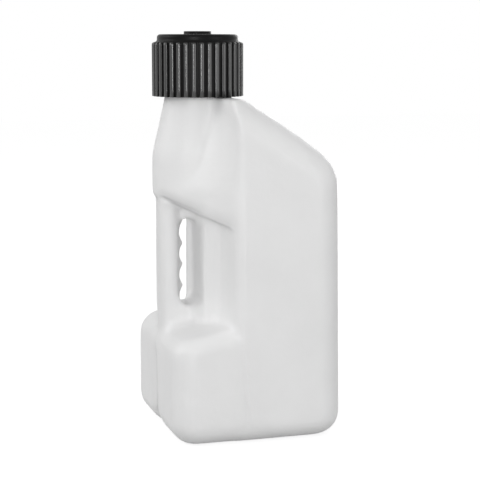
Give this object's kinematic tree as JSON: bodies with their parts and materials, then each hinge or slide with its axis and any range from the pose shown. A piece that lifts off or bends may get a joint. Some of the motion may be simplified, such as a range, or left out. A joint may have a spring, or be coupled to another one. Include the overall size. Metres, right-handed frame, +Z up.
{
  "type": "utility jug",
  "caption": "Upright blow-moulded utility jug with a through-handle with finger grooves, a sloped shoulder and a wide ribbed screw cap, for carrying and pouring liquids.",
  "frame": {"origin": "on the floor, under the middle of the jug's length and width", "axes": "+Z up, +X from the handle end to the far end, Y across the mould's parting plane"},
  "size_m": [0.1946, 0.1996, 0.4451],
  "materials": {
    "jug_plastic": "satin natural white polyethylene",
    "cap_plastic": "satin black moulded plastic",
    "gasket_rubber": "matt black rubber"
  },
  "bodies": {
    "jug": {"jug_body": "jug_plastic"},
    "gasket": {"cap_gasket": "gasket_rubber"},
    "cap": {"screw_cap": "cap_plastic"}
  },
  "joints": [
    {"name": "cap_lift", "type": "slide", "parent": "jug", "child": "gasket", "axis": [0, 0, 1], "range_m": [0, 0.0151]},
    {"name": "cap_turn", "type": "hinge", "parent": "gasket", "child": "cap", "pos_m": [-0.0458, 0, 0.4], "axis": [0, 0, 1], "range_deg": [0, 540]}
  ],
  "couplings": [
    {"joint": "cap_lift", "follows": "cap_turn", "m_per_rad": 0.0015915}
  ]
}
